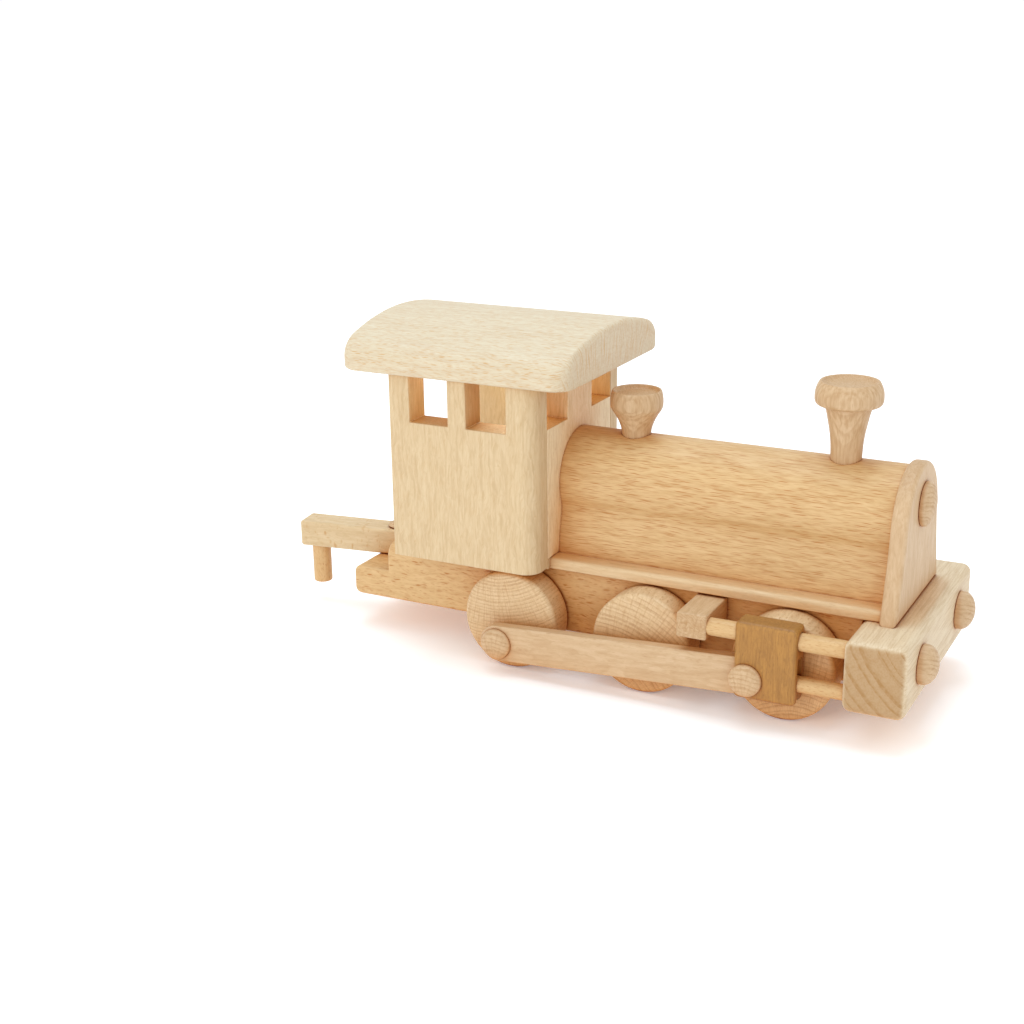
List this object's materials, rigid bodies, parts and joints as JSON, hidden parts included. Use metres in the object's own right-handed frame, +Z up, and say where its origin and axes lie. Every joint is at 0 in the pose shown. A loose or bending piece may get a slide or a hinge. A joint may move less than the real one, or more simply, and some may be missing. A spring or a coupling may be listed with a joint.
{
  "type": "toy train locomotive",
  "caption": "Wooden toy steam locomotive with an open cab, an arched roof, rolling wheelsets, sliding crossheads with main rods, and a swinging peg coupling.",
  "frame": {"origin": "on the surface that the wheels stand on, below the middle of the bounding box", "axes": "+X forward, towards the buffers; +Y to the engine's left; +Z up"},
  "size_m": [0.4272, 0.156, 0.202],
  "materials": {
    "flecked_beech": "sanded bare beech with dark ray flecks, satin",
    "pale_beech": "sanded pale beech, satin",
    "turned_beech": "turned and sanded beech, satin",
    "brown_wood": "steamed brown beech, satin"
  },
  "bodies": {
    "engine": {"chassis_beam": "flecked_beech", "running_board": "pale_beech", "boiler": "flecked_beech", "front_plate": "pale_beech", "buffer_beam": "pale_beech", "cab_floor": "pale_beech", "cab_side_right": "pale_beech", "cab_side_left": "pale_beech", "cab_front": "pale_beech", "roof": "pale_beech", "chimney": "turned_beech", "steam_dome": "turned_beech", "lamp": "turned_beech", "buffer_right": "turned_beech", "buffer_left": "turned_beech", "guide_bracket_right": "pale_beech", "guide_bracket_left": "pale_beech", "guide_rod_right": "turned_beech", "guide_rod_left": "turned_beech", "drawbar_pin": "turned_beech", "beam_dowel_right": "turned_beech", "beam_dowel_left": "turned_beech", "boiler_dowel_rear": "turned_beech", "boiler_dowel_front": "turned_beech"},
    "rear_wheelset": {"axle_rear": "turned_beech", "wheel_rear_right": "turned_beech", "wheel_rear_left": "turned_beech"},
    "middle_wheelset": {"axle_middle": "turned_beech", "wheel_middle_right": "turned_beech", "wheel_middle_left": "turned_beech"},
    "front_wheelset": {"axle_front": "turned_beech", "wheel_front_right": "turned_beech", "wheel_front_left": "turned_beech"},
    "right_slide": {"crosshead_right": "brown_wood", "crosshead_pin_right": "turned_beech", "piston_rod_right": "turned_beech"},
    "left_slide": {"crosshead_left": "brown_wood", "crosshead_pin_left": "turned_beech", "piston_rod_left": "turned_beech"},
    "right_rod": {"main_rod_right": "pale_beech", "crank_pin_right": "turned_beech"},
    "left_rod": {"main_rod_left": "pale_beech", "crank_pin_left": "turned_beech"},
    "coupling": {"drawbar": "pale_beech", "coupling_peg": "turned_beech"}
  },
  "joints": [
    {"name": "rear_axle_spin", "type": "hinge", "parent": "engine", "child": "rear_wheelset", "pos_m": [-0.0364, 0, 0.03], "axis": [0, 1, 0], "continuous": true},
    {"name": "middle_axle_spin", "type": "hinge", "parent": "engine", "child": "middle_wheelset", "pos_m": [0.0476, 0, 0.03], "axis": [0, 1, 0], "continuous": true},
    {"name": "front_axle_spin", "type": "hinge", "parent": "engine", "child": "front_wheelset", "pos_m": [0.1316, 0, 0.03], "axis": [0, 1, 0], "continuous": true},
    {"name": "right_crosshead_slide", "type": "slide", "parent": "engine", "child": "right_slide", "axis": [1, 0, 0], "range_m": [-0.0083, 0.0134]},
    {"name": "right_rod_swing", "type": "hinge", "parent": "right_slide", "child": "right_rod", "pos_m": [0.1168, -0.06525, 0.028], "axis": [0, 1, 0], "range_deg": [-0.1, 7.9]},
    {"name": "left_crosshead_slide", "type": "slide", "parent": "engine", "child": "left_slide", "axis": [1, 0, 0], "range_m": [-0.0083, 0.0134]},
    {"name": "left_rod_swing", "type": "hinge", "parent": "left_slide", "child": "left_rod", "pos_m": [0.1168, 0.06525, 0.028], "axis": [0, 1, 0], "range_deg": [-0.1, 7.9]},
    {"name": "drawbar_swing", "type": "hinge", "parent": "engine", "child": "coupling", "pos_m": [-0.1459, 0, 0.04765], "axis": [0, 0, 1], "range_deg": [-33.5, 16.5]}
  ],
  "couplings": [
    {"joint": "left_crosshead_slide", "follows": "right_crosshead_slide", "ratio": 1},
    {"joint": "left_rod_swing", "follows": "right_rod_swing", "ratio": 1}
  ]
}
